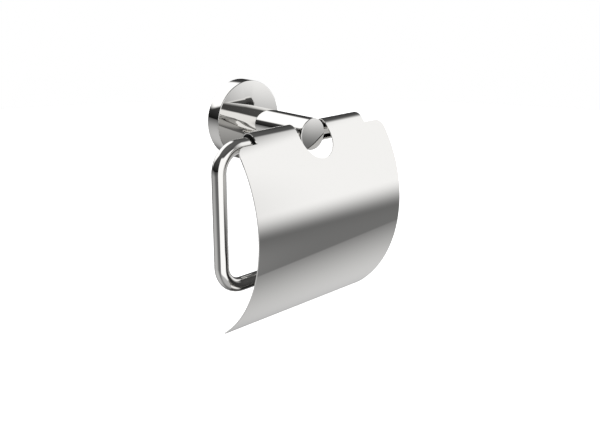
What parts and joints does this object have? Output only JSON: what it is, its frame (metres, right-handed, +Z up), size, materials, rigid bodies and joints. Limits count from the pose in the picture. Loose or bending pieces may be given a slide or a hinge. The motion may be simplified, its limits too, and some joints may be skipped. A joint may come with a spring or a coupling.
{
  "type": "toilet paper holder",
  "caption": "Wall-mounted polished toilet paper holder: round rosette and arm, an open bent-rod loop for the roll, and a curved sheet cover that swings on the rod.",
  "frame": {"origin": "centre of the rosette on the wall plane, which is the centre of the two wall screw holes", "axes": "+Z up, +Y into the wall, so the arm reaches into the room along -Y; +X to the right for a person who faces the wall, along the rod that the cover turns on"},
  "size_m": [0.1395, 0.0933, 0.1504],
  "materials": {
    "polished_chrome": "mirror-polished chrome plate on turned and bent brass",
    "cover_chrome": "mirror-polished chrome plate on bent sheet",
    "zinc_plated_steel": "turned steel, bright zinc plated",
    "turned_brass": "turned, unplated",
    "stainless_screws": "cold-formed stainless steel",
    "black_nylon": "moulded black nylon"
  },
  "bodies": {
    "root": {"wall_bracket": "zinc_plated_steel", "rosette_cup": "polished_chrome", "rosette_grub_screw": "stainless_screws", "arm_sleeve": "polished_chrome", "arm_core": "turned_brass", "arm_screw": "stainless_screws", "arm_spring_washer": "stainless_screws", "arm_dowel_pin": "stainless_screws", "rod_grub_screw": "stainless_screws", "bail_rod": "polished_chrome"},
    "lid": {"lid_sheet": "cover_chrome", "lid_bush_left": "black_nylon", "lid_bush_right": "black_nylon"}
  },
  "joints": [
    {"name": "lid_hinge", "type": "hinge", "parent": "root", "child": "lid", "pos_m": [0, -0.066, 0], "axis": [-1, 0, 0], "range_deg": [-9.5, 189]}
  ]
}
